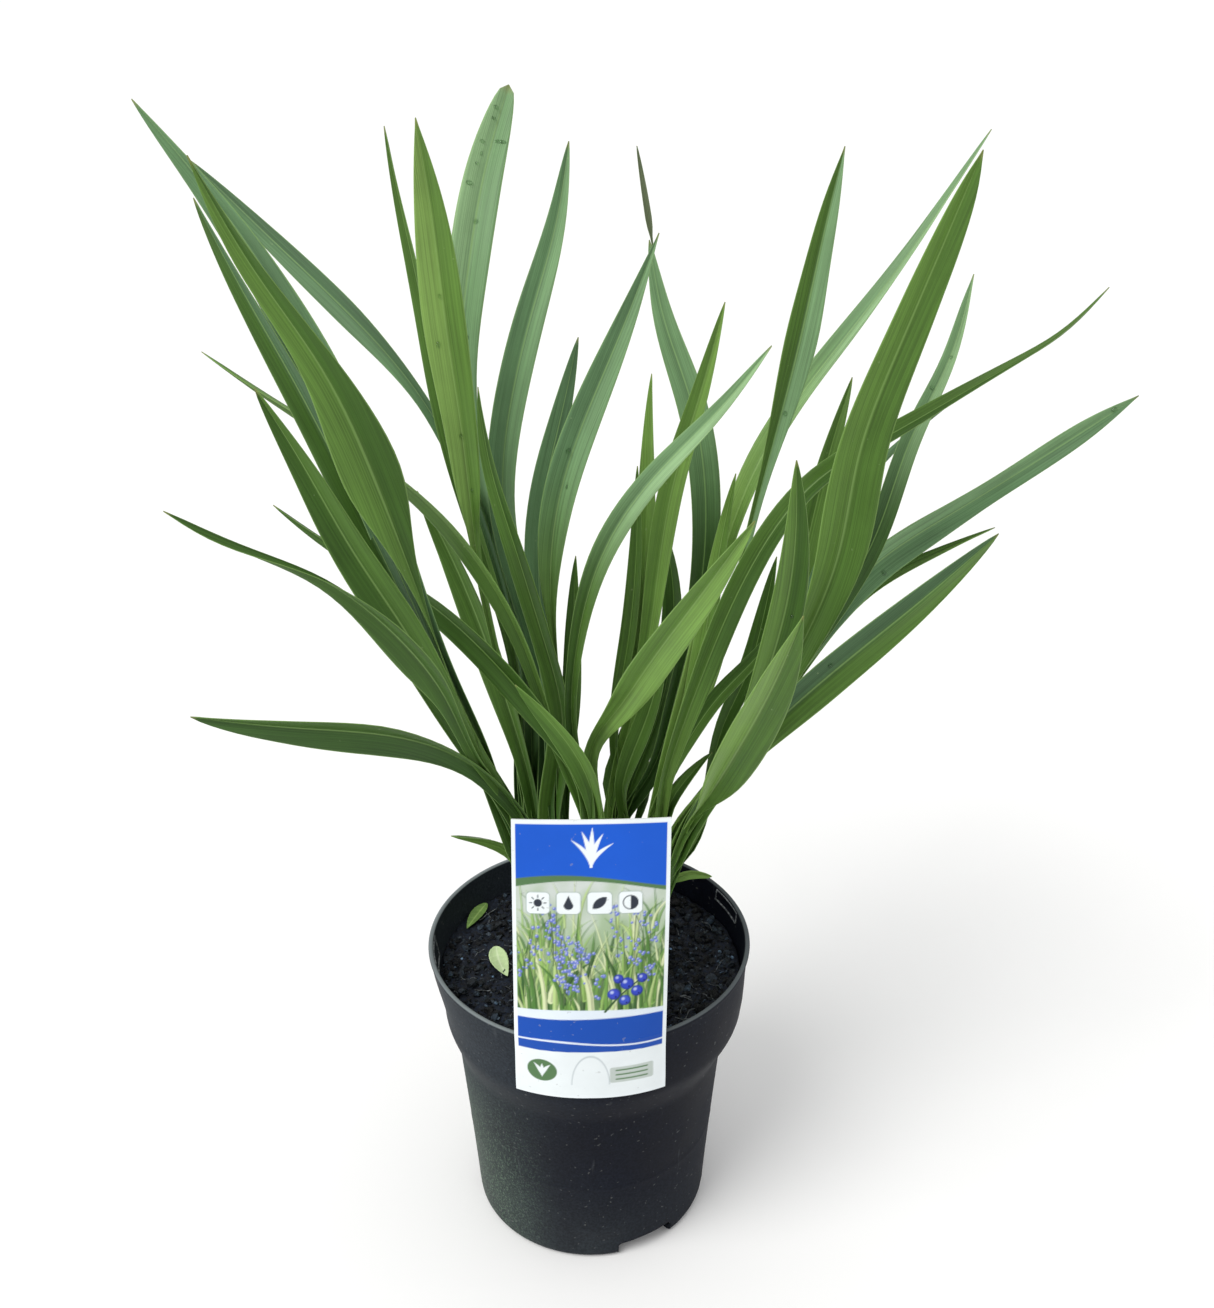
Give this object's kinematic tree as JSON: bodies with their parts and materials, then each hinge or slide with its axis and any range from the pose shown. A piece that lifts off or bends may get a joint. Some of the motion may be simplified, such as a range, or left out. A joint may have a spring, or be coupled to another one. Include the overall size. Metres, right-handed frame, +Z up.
{
  "type": "potted flax lily",
  "caption": "Fans of long folded strap leaves rising from soil in a round tapered nursery pot with a collar, with a card label hooked on the rim and fallen leaves.",
  "frame": {"origin": "centre of the pot's flat underside, on the surface it stands on", "axes": "+Z up along the pot's axis, -Y towards the side with the label, +X to the right seen from the label's side"},
  "size_m": [0.4048, 0.2409, 0.4855],
  "materials": {
    "pot_plastic": "smooth moulded, slightly glossy",
    "potting_mix": "rough bark-based potting mix",
    "leaf_green": "waxy leaf",
    "fallen_green": "drying leaf",
    "card": "printed plastic card"
  },
  "bodies": {
    "root": {"pot": "pot_plastic", "soil": "potting_mix", "shoot_1": "leaf_green", "shoot_2": "leaf_green", "shoot_3": "leaf_green", "shoot_4": "leaf_green", "shoot_5": "leaf_green", "shoot_6": "leaf_green", "shoot_7": "leaf_green", "shoot_8": "leaf_green", "shoot_9": "leaf_green", "label": "card", "fallen_leaf_1": "fallen_green", "fallen_leaf_2": "fallen_green"}
  },
  "joints": []
}
